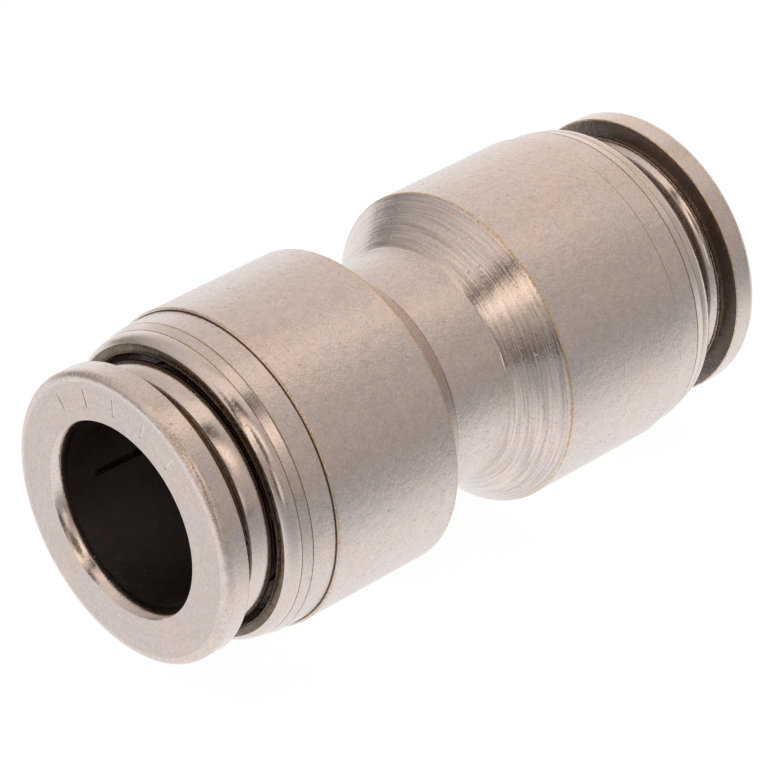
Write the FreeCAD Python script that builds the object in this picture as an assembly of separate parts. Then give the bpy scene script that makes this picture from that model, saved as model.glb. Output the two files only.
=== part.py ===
"""Push to connect fitting: a straight union that joins two 12 mm air tubes.

Every piece is turned about the X axis. The middle of the body is the origin,
+X runs to the right end and +Z is up. The two ends are mirror images, so each
piece of an end is drawn once for the right end and mirrored for the left.
Outlines are lists of (x, r): the distance from the middle and the radius.
"""

import FreeCAD
import Part

import math
import os

# ---- driving dimensions, in mm ----
TUBE_R = 6.0                # outer radius of the tube that each end takes
TUBE_CLEARANCE = 0.07       # radial play between the tube and a bore
BODY_R = 10.5               # the two barrels of the body
WAIST_R = 7.8               # the neck between the barrels
WAIST_HALF = 2.25           # half length of that neck
BARREL_END = 14.78          # where the body ends and the guide ring begins
FLOW_R = 5.0                # bore through the middle
STOP_X = 1.2                # shoulder that the tube's end meets
SOCKET_END = 5.6            # where the tube socket opens into the seal seat
SEAT_R = 9.15               # bore that holds the seal, the claws and the guide ring
EDGE = 0.12                 # small chamfer that takes the sharpness off a corner
LEAD_IN = 0.24              # larger chamfer that leads a tube or a ring in
FACE_X = 22.75              # outer face of a release ring
FLANGE_R = 9.55             # release ring's flange
FLANGE_BACK = 20.98         # inner face of that flange
TRAVEL = 2.0                # how far a release ring is pushed in

# ---- clearances ----
SEATED_GAP = 0.03           # radial gap drawn at a pressed or seated joint
RUNNING_GAP = 0.10          # radial gap of the release ring in its guide
STOP_GAP = 0.15             # play between the snap hooks and the guide's shoulder
CLAW_PLAY = 0.05            # play at each side of the claws' rim
FACE_GAP = 0.01             # gap drawn between the guide ring's step and the body's end
FLOOR_GAP = 0.20            # left behind the bead when a release ring is pushed home
OVERCUT = 1.0               # how far a cutting tool runs past the metal

# ---- values that follow from them ----
CONE_END = WAIST_HALF + BODY_R - WAIST_R
BORE_R = TUBE_R + TUBE_CLEARANCE

# ---- guide ring ----
GUIDE_STEP_R = 10.3         # outer radius where it meets the body
GUIDE_BAND_X = 16.64        # end of its slightly tapered band
GUIDE_BAND_R = 10.22
GUIDE_LIP_X = 17.29         # where the rounded lip begins
GUIDE_LIP_R = 10.02
LIP_MID = (18.08, 9.80)     # a point on the round of the lip
MOUTH_X = 18.42             # front of the lip
MOUTH_R = 9.12
MOUTH_EDGE = (18.36, 9.00)  # inner edge of the lip, where the chamfer into the bore begins
MOUTH_BORE_R = 8.82
GUIDE_BORE_R = 7.4
GUIDE_BORE_END = 14.10      # shoulder that the snap hooks catch
GUIDE_TAIL_X = 12.40        # inner end, which holds the claws' rim
GUIDE_TAIL_BORE_R = 8.35

# ---- release ring ----
RIM_ROUND = 0.60            # rounded front edge of the flange
RIM_BACK_EDGE = 0.18        # chamfer on the flange's back edge
LIP_ROUND = 0.55            # rounded mouth of its bore
COLLAR_R = 7.65             # neck behind the flange
COLLAR_X = 20.25            # where the neck starts to swell into the bead
SWELL_MID = (19.95, 7.80)
SWELL_END = (19.78, 8.22)
BEAD_START = (19.66, 8.33)
BEAD_MID = (18.90, 8.41)
BEAD_END = (18.10, 8.28)
BEAD_ROUND = (17.94, 8.16)
BEAD_BACK_X = 17.90
SLEEVE_R = GUIDE_BORE_R - RUNNING_GAP
HOOK_X = GUIDE_BORE_END - STOP_GAP
HOOK_R = 7.70
HOOK_END_X = 13.30
NOSE_X = 12.75
NOSE_R = 6.75
SLIT_START_X = 19.68        # outer end of the two saw slits
SLIT_WIDTH = 0.48
SLIT_DEPTH_R = 7.74         # how far out the slits reach
SLIT_ANGLES = (-9.66, 170.34)
RELIEF_LENGTH = 0.50        # small window where each slit starts
RELIEF_WIDTH = 0.95
RELIEF_R = (7.35, 8.15)
TICK_COUNT = 5              # plain index marks on the face of the flange
TICK_ANGLE = 88.0           # angle of their middle, from +Y towards +Z
TICK_STEP = 19.0
TICK_R = (7.25, 8.45)
TICK_WIDTH = 0.16
TICK_DEPTH = 0.06

# ---- shoulder at the bottom of the mouth, where the bead's travel ends ----
MOUTH_FLOOR_X = BEAD_BACK_X - TRAVEL - FLOOR_GAP

# ---- claws ----
CLAW_COUNT = 12
CLAW_THICKNESS = 0.30
CLAW_RIM_R = 8.95
CLAW_ROOT_R = 7.98
CLAW_RIM_X = GUIDE_TAIL_X - CLAW_PLAY - CLAW_THICKNESS
CLAW_TIP = (10.90, 6.12)    # inner edge of the claws, open at the tube's size
CLAW_SLOT = 0.75

# ---- backup ring ----
BACKUP_X = (8.95, CLAW_RIM_X - CLAW_PLAY)
BACKUP_BORE_R = 6.25
RECESS = ((9.60, 6.60), (11.20, 8.05))
RECESS_MOUTH_R = 8.20

# ---- elastic sleeve ----
SLEEVE_X = (5.70, 8.80)
SEAL_R = 9.05
SEAL_BORE_R = 6.15
SEAL_GROOVE_R = 8.55
SEAL_LIP_R = 6.55


def revolve(outline):
    """Turn a closed outline about the X axis.

    An outline is a list of (x, r) corners. A corner written as
    ("arc", middle, end) is reached by an arc through its middle point.
    """
    start = outline[0]
    here = start
    edges = []
    for item in list(outline[1:]) + [start]:
        if item[0] == "arc":
            middle, end = item[1], item[2]
            edges.append(Part.Arc(point(here), point(middle), point(end)).toShape())
        else:
            end = item
            edges.append(Part.makeLine(point(here), point(end)))
        here = end
    face = Part.Face(Part.Wire(edges))
    return face.revolve(FreeCAD.Vector(0, 0, 0), FreeCAD.Vector(1, 0, 0), 360)


def point(place):
    """The point at (x, r) in the XZ half plane."""
    return FreeCAD.Vector(place[0], 0, place[1])


def round_corner(corner, before, after, radius):
    """Two entries that replace a square corner by a quarter round.

    before and after are unit steps, along X and r, from the corner to the
    two places where the round begins and ends.
    """
    start = (corner[0] + before[0] * radius, corner[1] + before[1] * radius)
    end = (corner[0] + after[0] * radius, corner[1] + after[1] * radius)
    centre = (start[0] + after[0] * radius, start[1] + after[1] * radius)
    inward = radius / math.sqrt(2)
    middle = (centre[0] - (before[0] + after[0]) * inward,
              centre[1] - (before[1] + after[1]) * inward)
    return [start, ("arc", middle, end)]


def radial_box(x_range, r_range, width, angle):
    """A box that runs outwards from the axis at an angle, from +Y towards +Z."""
    length = x_range[1] - x_range[0]
    box = Part.makeBox(length, r_range[1] - r_range[0], width)
    box.translate(FreeCAD.Vector(x_range[0], r_range[0], -width / 2))
    box.rotate(FreeCAD.Vector(0, 0, 0), FreeCAD.Vector(1, 0, 0), angle)
    return box


def make_body():
    """The turned body: two barrels, the waist, the flow bore and both seats."""
    right_outside = [
        (-WAIST_HALF, WAIST_R),
        (WAIST_HALF, WAIST_R),
        (CONE_END - EDGE, BODY_R - EDGE),
        (CONE_END + EDGE, BODY_R),
        (BARREL_END - EDGE, BODY_R),
        (BARREL_END, BODY_R - EDGE),
    ]
    right_inside = [
        (BARREL_END, SEAT_R + EDGE),
        (BARREL_END - EDGE, SEAT_R),
        (SOCKET_END, SEAT_R),
        (SOCKET_END, BORE_R + LEAD_IN),
        (SOCKET_END - LEAD_IN, BORE_R),
        (STOP_X, BORE_R),
        (STOP_X, FLOW_R),
    ]
    left_inside = [(-x, r) for x, r in reversed(right_inside)]
    left_outside = [(-x, r) for x, r in reversed(right_outside[2:])]
    return revolve(right_outside + right_inside + left_inside + left_outside)


def make_guide_ring():
    """The ring pressed into the body's end: the visible mouth and the guide bore."""
    tail_r = SEAT_R - SEATED_GAP
    outline = [
        (BARREL_END + FACE_GAP, GUIDE_STEP_R),
        (GUIDE_BAND_X, GUIDE_BAND_R),
        (GUIDE_LIP_X, GUIDE_LIP_R),
        ("arc", LIP_MID, (MOUTH_X, MOUTH_R)),
        MOUTH_EDGE,
        (MOUTH_X - LEAD_IN, MOUTH_BORE_R),
        (MOUTH_FLOOR_X, MOUTH_BORE_R),
        (MOUTH_FLOOR_X, GUIDE_BORE_R + EDGE),
        (MOUTH_FLOOR_X - EDGE, GUIDE_BORE_R),
        (GUIDE_BORE_END, GUIDE_BORE_R),
        (GUIDE_BORE_END, GUIDE_TAIL_BORE_R),
        (GUIDE_TAIL_X, GUIDE_TAIL_BORE_R),
        (GUIDE_TAIL_X, tail_r - EDGE),
        (GUIDE_TAIL_X + EDGE, tail_r),
        (BARREL_END + FACE_GAP, tail_r),
    ]
    return revolve(outline)


def make_release_ring():
    """The push ring: flange, neck, bead and a slit sleeve with snap hooks."""
    outline = round_corner((FACE_X, BORE_R), (-1, 0), (0, 1), LIP_ROUND)
    outline += round_corner((FACE_X, FLANGE_R), (0, -1), (-1, 0), RIM_ROUND)
    outline += [
        (FLANGE_BACK + RIM_BACK_EDGE, FLANGE_R),
        (FLANGE_BACK, FLANGE_R - RIM_BACK_EDGE),
        (FLANGE_BACK, COLLAR_R),
        (COLLAR_X, COLLAR_R),
        ("arc", SWELL_MID, SWELL_END),
        BEAD_START,
        ("arc", BEAD_MID, BEAD_END),
        BEAD_ROUND,
        (BEAD_BACK_X, BEAD_ROUND[1] - EDGE),
        (BEAD_BACK_X, SLEEVE_R),
        (HOOK_X, SLEEVE_R),
        (HOOK_X, HOOK_R),
        (HOOK_END_X, HOOK_R),
        (NOSE_X, NOSE_R),
        (NOSE_X, BORE_R + EDGE),
        (NOSE_X + EDGE, BORE_R),
    ]
    ring = revolve(outline)
    for angle in SLIT_ANGLES:
        slit = radial_box((NOSE_X - OVERCUT, SLIT_START_X), (0, SLIT_DEPTH_R), SLIT_WIDTH, angle)
        relief_x = (SLIT_START_X - RELIEF_LENGTH / 2, SLIT_START_X + RELIEF_LENGTH / 2)
        relief = radial_box(relief_x, RELIEF_R, RELIEF_WIDTH, angle)
        ring = ring.cut(slit).cut(relief)
    for number in range(TICK_COUNT):
        angle = TICK_ANGLE + (number - (TICK_COUNT - 1) / 2) * TICK_STEP
        tick = radial_box((FACE_X - TICK_DEPTH, FACE_X + OVERCUT), TICK_R, TICK_WIDTH, angle)
        ring = ring.cut(tick)
    return ring


def make_lock_claws():
    """A stamped washer whose slit inner part is bent into sloping claws."""
    rim_back = CLAW_RIM_X
    rim_front = CLAW_RIM_X + CLAW_THICKNESS
    run = rim_back - CLAW_TIP[0]
    rise = CLAW_ROOT_R - CLAW_TIP[1]
    thick_x = CLAW_THICKNESS * math.hypot(run, rise) / rise
    outline = [
        (rim_back, CLAW_RIM_R),
        (rim_front, CLAW_RIM_R),
        (rim_front, CLAW_ROOT_R),
        (CLAW_TIP[0] + thick_x, CLAW_TIP[1]),
        CLAW_TIP,
        (rim_back, CLAW_ROOT_R),
    ]
    claws = revolve(outline)
    for number in range(CLAW_COUNT):
        angle = 360.0 * (number + 0.5) / CLAW_COUNT
        slot_x = (CLAW_TIP[0] - OVERCUT, rim_front + OVERCUT)
        slot_r = (CLAW_TIP[1] - OVERCUT, CLAW_ROOT_R)
        slot = radial_box(slot_x, slot_r, CLAW_SLOT, angle)
        claws = claws.cut(slot)
    return claws


def make_backup_ring():
    """The stiff ring between the seal and the claws, hollowed for the release ring."""
    outer_r = SEAT_R - 2 * SEATED_GAP
    outline = [
        (BACKUP_X[0], BACKUP_BORE_R),
        (RECESS[0][0], BACKUP_BORE_R),
        RECESS[0],
        RECESS[1],
        (BACKUP_X[1], RECESS_MOUTH_R),
        (BACKUP_X[1], outer_r),
        (BACKUP_X[0], outer_r),
    ]
    return revolve(outline)


def make_elastic_sleeve():
    """The rubber seal: two inner lips, and a groove round its outside."""
    first, last = SLEEVE_X
    middle = (first + last) / 2
    quarter = (last - first) / 4
    outline = [
        (first, SEAL_LIP_R),
        ("arc", (first + quarter, SEAL_BORE_R), (middle, SEAL_LIP_R)),
        ("arc", (last - quarter, SEAL_BORE_R), (last, SEAL_LIP_R)),
        (last, SEAL_R),
        (middle + quarter, SEAL_R),
        ("arc", (middle, SEAL_GROOVE_R), (middle - quarter, SEAL_R)),
        (first, SEAL_R),
    ]
    return revolve(outline)


def export(shape, name):
    """Write one piece to its own file."""
    shape.exportStep("parts/" + name + ".step")
    print(name, "volume", round(shape.Volume, 2), "valid", shape.isValid(), "solids", len(shape.Solids))


END_PIECES = {
    "release_ring": make_release_ring,
    "guide_ring": make_guide_ring,
    "lock_claws": make_lock_claws,
    "backup_ring": make_backup_ring,
    "elastic_sleeve": make_elastic_sleeve,
}


def main():
    """Write the body, and each end's pieces with their mirror images."""
    os.makedirs("parts", exist_ok=True)
    export(make_body(), "body")
    middle = FreeCAD.Vector(0, 0, 0)
    across = FreeCAD.Vector(1, 0, 0)
    for name, make in END_PIECES.items():
        right = make()
        export(right, name + "_right")
        export(right.mirror(middle, across), name + "_left")


main()
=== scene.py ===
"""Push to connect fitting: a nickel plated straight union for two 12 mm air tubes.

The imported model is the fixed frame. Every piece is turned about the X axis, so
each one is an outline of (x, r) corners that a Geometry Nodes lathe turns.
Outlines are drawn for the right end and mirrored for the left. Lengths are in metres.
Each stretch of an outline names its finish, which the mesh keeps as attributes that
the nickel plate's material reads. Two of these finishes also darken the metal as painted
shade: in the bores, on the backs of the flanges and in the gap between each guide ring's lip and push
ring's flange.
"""

import math
from typing import NamedTuple

import bpy
from mathutils import Matrix, Vector


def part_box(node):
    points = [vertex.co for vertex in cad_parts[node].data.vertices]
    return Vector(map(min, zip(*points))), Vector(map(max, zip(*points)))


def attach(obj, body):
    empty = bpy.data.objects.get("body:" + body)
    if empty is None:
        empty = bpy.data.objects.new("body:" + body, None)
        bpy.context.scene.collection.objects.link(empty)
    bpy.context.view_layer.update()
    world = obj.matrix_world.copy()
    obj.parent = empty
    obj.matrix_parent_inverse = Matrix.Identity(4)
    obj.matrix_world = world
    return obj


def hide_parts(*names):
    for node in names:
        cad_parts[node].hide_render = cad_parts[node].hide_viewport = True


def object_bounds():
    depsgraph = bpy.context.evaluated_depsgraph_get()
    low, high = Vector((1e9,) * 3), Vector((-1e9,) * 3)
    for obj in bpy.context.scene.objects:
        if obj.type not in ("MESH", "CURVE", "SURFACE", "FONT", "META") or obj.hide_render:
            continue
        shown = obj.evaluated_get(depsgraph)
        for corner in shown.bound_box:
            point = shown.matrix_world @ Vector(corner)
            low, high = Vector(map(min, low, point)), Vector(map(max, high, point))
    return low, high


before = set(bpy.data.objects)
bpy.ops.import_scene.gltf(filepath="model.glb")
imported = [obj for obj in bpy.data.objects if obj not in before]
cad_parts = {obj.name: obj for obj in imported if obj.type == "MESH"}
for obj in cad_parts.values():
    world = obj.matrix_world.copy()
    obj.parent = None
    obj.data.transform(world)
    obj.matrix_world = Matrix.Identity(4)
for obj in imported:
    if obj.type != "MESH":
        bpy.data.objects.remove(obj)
CAD_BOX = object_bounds()

bl_info = {
    "name": "Push to Connect Fitting",
    "version": (1, 0, 0),
    "blender": (4, 5, 0),
    "location": "View3D > Sidebar > Fitting",
    "description": "Builds a nickel plated straight union for air tubes around its packed CAD model",
    "category": "Object",
}

MM = 0.001
# of these, the bore mask is painted shade in the bores and on the flange backs, and the stain mask is
# stain at the joints and painted shade in the gap between lip and flange
FINISHES = ("turned", "polished", "faced", "bored", "stained", "handled")   # satin is what is left
ROUND_STEPS = 6             # edges that a small rounded corner is drawn with
BEND_STEPS = 16             # edges that a large arc is drawn with
SUPPORT = 0.06 * MM         # a line of points this close to a corner keeps the shading crisp
ROUND_MIDDLE = 0.293        # a quarter round's middle, as a share of its radius from its corner
ROOM = 0.45                 # share of the stretch to a neighbour that a rounded corner may take
STRAIGHT = 1e-3             # a corner that turns less than this, in radians, stays as it is
WELD = 1e-7                 # points closer than this are one
CLEAR = 1.0 * MM            # how far a cutter runs past the metal
SHARP_ANGLE = math.radians(40)     # faces that meet more sharply than this keep a crisp edge
BLACK = (0.0, 0.0, 0.0, 1.0)
WHITE = (1.0, 1.0, 1.0, 1.0)


def high(node):
    """The highest corner of a CAD node."""
    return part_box(node)[1]


def low(node):
    """The lowest corner of a CAD node."""
    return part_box(node)[0]


def girth(node):
    """The outer radius of a turned CAD node, which fits its box both ways."""
    return min(high(node).y, high(node).z)


def length(label, text, default):
    """A length property in metres."""
    return bpy.props.FloatProperty(name=label, description=text, default=default,
                                   min=0.0, precision=6, unit="LENGTH")


def factor(label, text, default, top=1.0):
    """A plain number property from nothing to a top."""
    return bpy.props.FloatProperty(name=label, description=text, default=default,
                                   min=0.0, max=top, subtype="FACTOR")


def colour(label, text, default):
    """A colour property, in linear red, green and blue."""
    return bpy.props.FloatVectorProperty(name=label, description=text, default=default,
                                         size=3, min=0.0, max=1.0, subtype="COLOR")


# ---------------------------------------------------------------- settings

class FittingBodySizes(bpy.types.PropertyGroup):
    """Sizes of the turned body."""

    barrel_radius: length("Barrel Radius", "Outer radius of both barrels", girth("body"))
    barrel_end: length("Barrel End", "Distance from the middle to the end of a barrel", high("body").x)
    waist_radius: length("Waist Radius", "Radius of the neck between the barrels", 7.8 * MM)
    waist_half: length("Waist Half Length", "Distance from the middle to the start of a cone", 2.25 * MM)
    waist_fillet: length("Waist Fillet", "Radius in the corner between neck and cone", 0.22 * MM)
    seat_radius: length("Seat Radius", "Bore that holds the seal and the guide ring", 9.15 * MM)
    seat_end: length("Seat End", "Distance from the middle to the bottom of the seat", 5.6 * MM)
    socket_radius: length("Socket Radius", "Bore that takes the end of the tube", 6.07 * MM)
    stop: length("Tube Stop", "Distance from the middle to the shoulder that stops the tube", 1.2 * MM)
    flow_radius: length("Flow Radius", "Bore through the middle", 5.0 * MM)
    edge: length("Edge Round", "Radius that takes the sharpness off a corner", 0.11 * MM)


class FittingGuideSizes(bpy.types.PropertyGroup):
    """Sizes of a guide ring, the pressed-in mouth of the body."""

    step_radius: length("Step Radius", "Outer radius beside the body", girth("guide_ring_right"))
    mouth: length("Mouth", "Distance from the middle to the front of the lip",
                  high("guide_ring_right").x)
    tail: length("Tail", "Distance from the middle to the inner end", low("guide_ring_right").x)
    band_end: length("Band End", "End of the straight band", 16.64 * MM)
    band_radius: length("Band Radius", "Radius at the end of that band", 10.22 * MM)
    lip_start: length("Lip Start", "Where the rounded lip begins", 17.29 * MM)
    lip_radius: length("Lip Radius", "Radius where the lip begins", 10.02 * MM)
    mouth_radius: length("Mouth Radius", "Radius at the front of the lip", 9.12 * MM)
    mouth_bore: length("Mouth Bore", "Radius of the bore that the bead slides into", 8.82 * MM)
    floor: length("Mouth Floor", "Distance from the middle to the bottom of that bore", 15.70 * MM)
    guide_bore: length("Guide Bore", "Radius of the bore that guides the push ring", 7.40 * MM)
    shoulder: length("Shoulder", "Where the snap hooks catch", 14.10 * MM)
    tail_bore: length("Tail Bore", "Radius of the bore behind the shoulder", 8.35 * MM)


class FittingPushRingSizes(bpy.types.PropertyGroup):
    """Sizes of a push ring, which lets the tube go."""

    face: length("Face", "Distance from the middle to the outer face", high("release_ring_right").x)
    nose: length("Nose", "Distance from the middle to the inner end", low("release_ring_right").x)
    flange_radius: length("Flange Radius", "Radius of the flange", girth("release_ring_right"))
    flange_back: length("Flange Back", "Inner face of the flange", 20.98 * MM)
    rim_round: length("Rim Round", "Rounded front edge of the flange", 0.55 * MM)
    lip_width: length("Lip Width", "How much wider the bore is at the face", 0.38 * MM)
    lip_depth: length("Lip Depth", "How far the bore's soft chamfer goes in", 1.00 * MM)
    bore_radius: length("Bore Radius", "Bore that the tube passes through", 6.07 * MM)
    collar_radius: length("Collar Radius", "Neck behind the flange", 7.65 * MM)
    fillet: length("Fillet", "Radius in the corner between neck and flange", 0.66 * MM)
    bead_radius: length("Bead Radius", "Crown of the bead behind the neck", 8.60 * MM)
    sleeve_radius: length("Sleeve Radius", "Sleeve inside the guide bore", 7.30 * MM)
    hook_radius: length("Hook Radius", "Snap hooks on the end of the sleeve", 7.70 * MM)
    slit_start: length("Slit Start", "Outer end of the two saw slits", 19.68 * MM)
    slit_width: length("Slit Width", "Width of a saw slit", 0.48 * MM)
    slit_depth: length("Slit Depth", "Radius that the slits reach", 7.74 * MM)
    slit_angle: bpy.props.FloatProperty(
        name="Slit Angle", description="Angle of the first slit, from +Y towards +Z",
        default=math.radians(-9.66), subtype="ANGLE")
    tick_angle: bpy.props.FloatProperty(
        name="Tick Angle", description="Angle of the middle index mark, from +Y towards +Z",
        default=math.radians(88.0), subtype="ANGLE")


class FittingGripSizes(bpy.types.PropertyGroup):
    """Sizes of the pieces inside each end: claws, backup ring and seal."""

    rim_radius: length("Rim Radius", "Outer radius of the claws' rim", girth("lock_claws_right"))
    rim_front: length("Rim Front", "Front of that rim", high("lock_claws_right").x)
    tip: length("Claw Tip", "Distance from the middle to the claws' tips", low("lock_claws_right").x)
    tip_radius: length("Tip Radius", "Radius at the claws' tips", 6.12 * MM)
    root_radius: length("Root Radius", "Radius where the claws bend", 7.98 * MM)
    claw_thickness: length("Claw Thickness", "Thickness of the claws' sheet", 0.30 * MM)
    claw_slot: length("Claw Slot", "Width of the slot between two claws", 0.75 * MM)
    claw_count: bpy.props.IntProperty(name="Claws", description="Number of claws", default=12, min=3)
    backup_front: length("Backup Front", "Front of the backup ring", high("backup_ring_right").x)
    backup_back: length("Backup Back", "Back of the backup ring", low("backup_ring_right").x)
    backup_radius: length("Backup Radius", "Outer radius of the backup ring",
                          girth("backup_ring_right"))
    seal_front: length("Seal Front", "Front of the seal", high("elastic_sleeve_right").x)
    seal_back: length("Seal Back", "Back of the seal", low("elastic_sleeve_right").x)
    seal_radius: length("Seal Radius", "Outer radius of the seal", girth("elastic_sleeve_right"))


class FittingFinish(bpy.types.PropertyGroup):
    """Colours and wear of the metals and the rubber, with the colours that paint shade on the plate."""

    nickel: colour("Nickel", "Colour of the nickel plate", (0.735, 0.650, 0.622))
    warm: colour("Warm Nickel", "Warmer tone that clouds the plate", (0.715, 0.605, 0.552))
    brass: colour("Brass", "Brass that shows where the plate is rubbed thin", (0.64, 0.42, 0.19))
    # the stain colour is also painted shade, on the lip's front and the neck's slope in the gap behind
    # the flange
    stain: colour("Stain", "Brown stain that washing leaves in the grooves", (0.090, 0.060, 0.028))
    # the dirt colour is real dirt in the pits, and painted shade in the bores and on the flange backs
    pit_dirt_and_shade: colour("Dirt", "Dark film inside the bores and in the pits", (0.050, 0.040, 0.030))
    steel: colour("Claw Steel", "Colour of the stainless claws", (0.56, 0.55, 0.53))
    rubber: colour("Rubber", "Colour of the seal", (0.020, 0.020, 0.021))
    satin: factor("Satin Roughness", "Roughness of the tumbled plate", 0.20)
    wear: factor("Edge Wear", "How far the edges are rubbed through", 0.75)
    steps: bpy.props.IntProperty(name="Steps", description="Faces round a turned piece",
                                 default=216, min=24, max=360)


class FittingStage(bpy.types.PropertyGroup):
    """Floor, light and camera."""

    azimuth: bpy.props.FloatProperty(name="Azimuth", description="Camera's turn about the part",
                                     default=math.radians(-43.57), subtype="ANGLE")
    elevation: bpy.props.FloatProperty(name="Elevation", description="Camera's height angle",
                                       default=math.radians(33.08), subtype="ANGLE")
    camera_place: bpy.props.FloatVectorProperty(
        name="Camera Place", description="Where the camera stands", size=3, subtype="TRANSLATION",
        unit="LENGTH", precision=5, default=(-0.15561, -0.16241, 0.14601))
    lens: bpy.props.FloatProperty(name="Lens", description="Focal length of the camera",
                                  default=201.08, unit="CAMERA")
    surroundings: factor("Surroundings", "Strength of the light tent", 1.0, top=10.0)
    strip_light: factor("Strip Light", "Brightness of the long light over the part", 1.0, top=5.0)
    end_card: factor("End Card", "Brightness of the card past the right end", 1.05, top=5.0)
    floor_glow: factor("Floor Glow", "Light that the floor gives back by itself", 0.93, top=5.0)
    floor_fade: length("Floor Fade", "How far in front of the part the floor has lost half its light",
                       27.0 * MM)


# ---------------------------------------------------------------- node helpers

def add_node(tree, kind, settings=None, inputs=None):
    """A node with its settings made first, then the values or links of its sockets."""
    node = tree.nodes.new(kind)
    for name, value in (settings or {}).items():
        if name == "stops":
            set_stops(node.color_ramp, value)
        else:
            setattr(node, name, value)
    for key, value in (inputs or {}).items():
        connect(tree, value, node.inputs[key])
    return node


def set_stops(ramp, stops):
    """The stops of a ramp, each a place from nothing to one with its colour."""
    for place, tone in stops[1:-1]:
        ramp.elements.new(place).color = tone
    for element, (place, tone) in zip((ramp.elements[0], ramp.elements[-1]), (stops[0], stops[-1])):
        element.position = place
        element.color = tone


def connect(tree, value, socket):
    """Link a wire to a socket, or set the socket's own value."""
    if isinstance(value, Wire):
        tree.links.new(value.socket, socket)
    elif isinstance(value, bpy.types.NodeSocket):
        tree.links.new(value, socket)
    else:
        socket.default_value = value


def maths(tree, operation, *values):
    """The result of a Math node."""
    node = add_node(tree, "ShaderNodeMath", {"operation": operation}, dict(enumerate(values)))
    return Wire(tree, node.outputs[0])


class Wire:
    """A socket that carries a number, on which sums can be written."""

    def __init__(self, tree, socket):
        self.tree = tree
        self.socket = socket

    def to(self, operation, *others):
        """This number put through a Math node, with the node's other numbers."""
        return maths(self.tree, operation, self, *others)

    def __add__(self, other):
        return self.to("ADD", other)

    def __radd__(self, other):
        return maths(self.tree, "ADD", other, self)

    def __sub__(self, other):
        return self.to("SUBTRACT", other)

    def __rsub__(self, other):
        return maths(self.tree, "SUBTRACT", other, self)

    def __mul__(self, other):
        return self.to("MULTIPLY", other)

    def __rmul__(self, other):
        return maths(self.tree, "MULTIPLY", other, self)

    def __truediv__(self, other):
        return self.to("DIVIDE", other)

    def __rtruediv__(self, other):
        return maths(self.tree, "DIVIDE", other, self)

    def __pow__(self, other):
        return self.to("POWER", other)

    def bounded(self):
        """The number kept between nothing and one."""
        return self.to("MAXIMUM", 0.0).to("MINIMUM", 1.0)

    def between(self, start, end):
        """Nothing below start and one above end, with a smooth change between them."""
        node = add_node(self.tree, "ShaderNodeMapRange", {"interpolation_type": "SMOOTHSTEP"},
                        {"Value": self, "From Min": start, "From Max": end})
        return Wire(self.tree, node.outputs["Result"])

    def within(self, start, full, fading, end):
        """One from full to fading, with a smooth fall to nothing at start and at end."""
        return self.between(end, fading) * self.between(start, full)


class Paint:
    """A material's node tree, with the few kinds of node that the finishes need."""

    def __init__(self, name):
        self.material = bpy.data.materials.new(name)
        self.material.use_nodes = True
        self.tree = self.material.node_tree
        self.shader = self.tree.nodes["Principled BSDF"]
        place = add_node(self.tree, "ShaderNodeTexCoord")
        self.place = place.outputs["Object"]
        axes = add_node(self.tree, "ShaderNodeSeparateXYZ", inputs={0: self.place})
        self.x, self.y, self.z = (Wire(self.tree, output) for output in axes.outputs)
        self.r = (self.y * self.y + self.z * self.z) ** 0.5

    def mask(self, name):
        """A mesh attribute as a number."""
        node = add_node(self.tree, "ShaderNodeAttribute", {"attribute_name": name})
        return Wire(self.tree, node.outputs["Fac"])

    def noise(self, size, detail=2.0, roughness=0.5, place=None, distortion=0.0):
        """Noise whose clouds are about as large as size, from nothing to one."""
        inputs = {"Vector": place or self.place, "Scale": 1.0 / size, "Detail": detail,
                  "Roughness": roughness, "Distortion": distortion}
        return Wire(self.tree, add_node(self.tree, "ShaderNodeTexNoise", inputs=inputs).outputs[0])

    def lathe_lines(self, size, sweep, detail=2.0):
        """Noise in rings: quick along the outline, and slow round the axis."""
        across = sweep * size
        place = add_node(self.tree, "ShaderNodeCombineXYZ",
                         inputs={0: self.x, 1: self.r, 2: self.y / self.r * across})
        inputs = {"Vector": place.outputs[0], "W": self.z / self.r * across,
                  "Scale": 1.0 / size, "Detail": detail}
        node = add_node(self.tree, "ShaderNodeTexNoise", {"noise_dimensions": "4D"}, inputs)
        return Wire(self.tree, node.outputs[0])

    def mix(self, amount, first, second):
        """Two colours mixed by a number."""
        node = add_node(self.tree, "ShaderNodeMix", {"data_type": "RGBA"},
                        {0: amount, 6: rgba(first), 7: rgba(second)})
        return node.outputs[2]

    def darken(self, tone, amount):
        """A colour multiplied by a number."""
        node = add_node(self.tree, "ShaderNodeVectorMath", {"operation": "SCALE"},
                        {0: tone, "Scale": amount})
        return node.outputs[0]

    def bump(self, height, distance, normal=None):
        """A bump whose heights are in metres times distance."""
        inputs = {"Height": height, "Distance": distance, "Strength": 1.0}
        if normal is not None:
            inputs["Normal"] = normal
        return add_node(self.tree, "ShaderNodeBump", inputs=inputs).outputs["Normal"]

    def finish(self, tone, roughness, normal, metallic=1.0):
        """Feed the shader, and return the material."""
        for name, value in (("Base Color", tone), ("Roughness", roughness), ("Normal", normal),
                            ("Metallic", metallic)):
            connect(self.tree, value, self.shader.inputs[name])
        return self.material


def rgba(tone):
    """A property's colour with full cover, or a link left as it is."""
    if isinstance(tone, bpy.types.NodeSocket):
        return tone
    return (*tone, 1.0)


# ---------------------------------------------------------------- materials

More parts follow.
